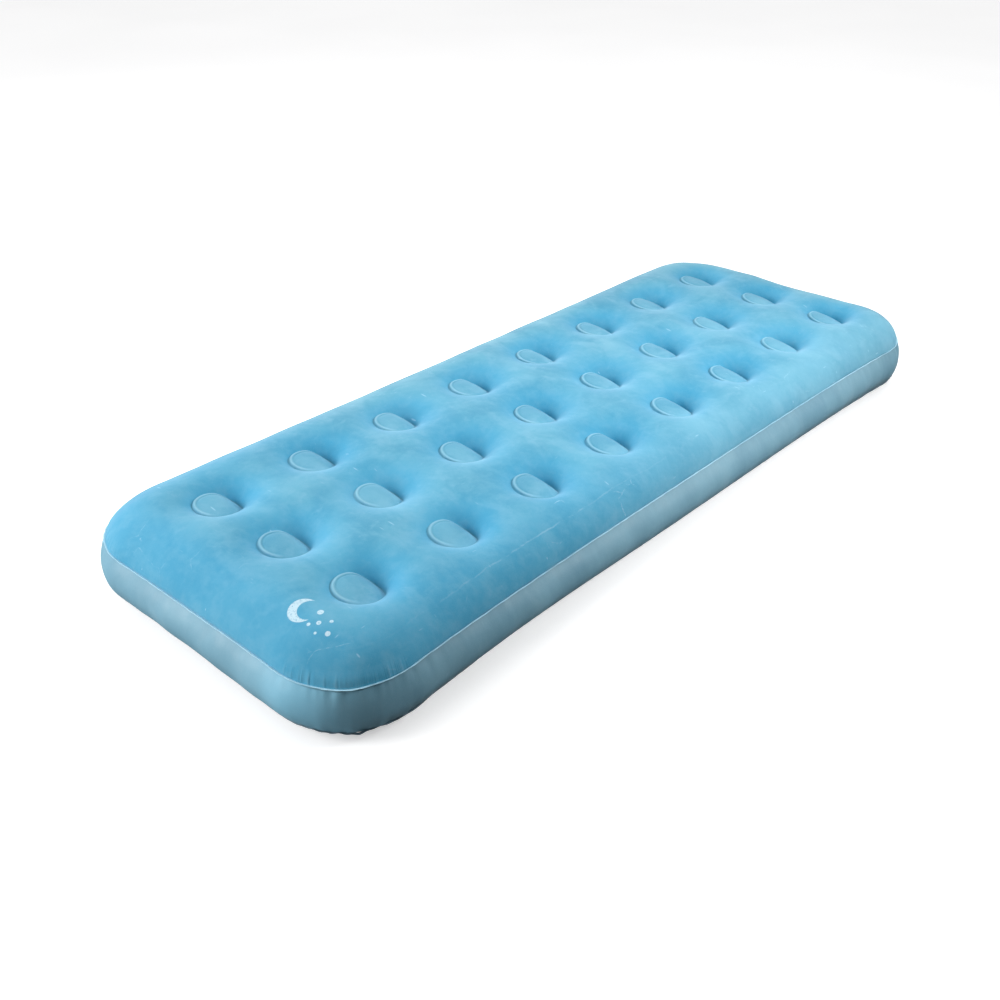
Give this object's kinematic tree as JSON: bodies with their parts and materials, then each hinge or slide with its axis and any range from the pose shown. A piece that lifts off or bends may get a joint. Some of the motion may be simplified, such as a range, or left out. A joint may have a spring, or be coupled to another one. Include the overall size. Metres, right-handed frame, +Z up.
{
  "type": "air mattress",
  "caption": "Inflated flocked air mattress with welded coil dimples, smooth side wall and a two-stage screw valve with a hinged cap.",
  "frame": {"origin": "centre of the underside, on the floor plane", "axes": "+Z up, +Y towards the head end where the valve is, +X to the right of a person lying on it"},
  "size_m": [0.76, 1.8866, 0.176],
  "materials": {
    "flocked_film": "flocked velvet nap on vinyl film",
    "wall_film": "satin vinyl film",
    "coil_film": "plain vinyl film",
    "valve_soft": "soft moulded vinyl",
    "valve_hard": "moulded plastic",
    "seal_rubber": "soft rubber"
  },
  "bodies": {
    "bed": {"top_sheet": "flocked_film", "side_wall_band": "wall_film", "bottom_sheet": "wall_film", "coil_tube_row1_left": "coil_film", "coil_tube_row1_middle": "coil_film", "coil_tube_row1_right": "coil_film", "coil_tube_row2_left": "coil_film", "coil_tube_row2_middle": "coil_film", "coil_tube_row2_right": "coil_film", "coil_tube_row3_left": "coil_film", "coil_tube_row3_middle": "coil_film", "coil_tube_row3_right": "coil_film", "coil_tube_row4_left": "coil_film", "coil_tube_row4_middle": "coil_film", "coil_tube_row4_right": "coil_film", "coil_tube_row5_left": "coil_film", "coil_tube_row5_middle": "coil_film", "coil_tube_row5_right": "coil_film", "coil_tube_row6_left": "coil_film", "coil_tube_row6_middle": "coil_film", "coil_tube_row6_right": "coil_film", "coil_tube_row7_left": "coil_film", "coil_tube_row7_middle": "coil_film", "coil_tube_row7_right": "coil_film", "coil_tube_row8_left": "coil_film", "coil_tube_row8_middle": "coil_film", "coil_tube_row8_right": "coil_film", "coil_top_rings": "coil_film", "coil_bottom_rings": "coil_film", "valve_seat": "valve_soft"},
    "core_carrier": {"core_seal": "seal_rubber"},
    "core": {"valve_core": "valve_hard", "cap_strap": "valve_soft"},
    "cap": {"valve_cap": "valve_hard", "cap_seal": "seal_rubber"},
    "flap": {"check_flap": "seal_rubber"}
  },
  "joints": [
    {"name": "core_lift", "type": "slide", "parent": "bed", "child": "core_carrier", "axis": [0, 1, 0], "range_m": [0, 0.0076]},
    {"name": "core_turn", "type": "hinge", "parent": "core_carrier", "child": "core", "pos_m": [-0.165, 0.935, 0.0625], "axis": [0, 1, 0], "range_deg": [0, 900]},
    {"name": "cap_hinge", "type": "hinge", "parent": "core", "child": "cap", "pos_m": [-0.1872, 0.9458, 0.0625], "axis": [0, 0, 1], "range_deg": [0, 155]},
    {"name": "flap_hinge", "type": "hinge", "parent": "core", "child": "flap", "pos_m": [-0.165, 0.92, 0.0771], "axis": [-1, 0, 0], "range_deg": [0, 60]}
  ],
  "couplings": [
    {"joint": "core_lift", "follows": "core_turn", "m_per_rad": 0.00047746}
  ]
}
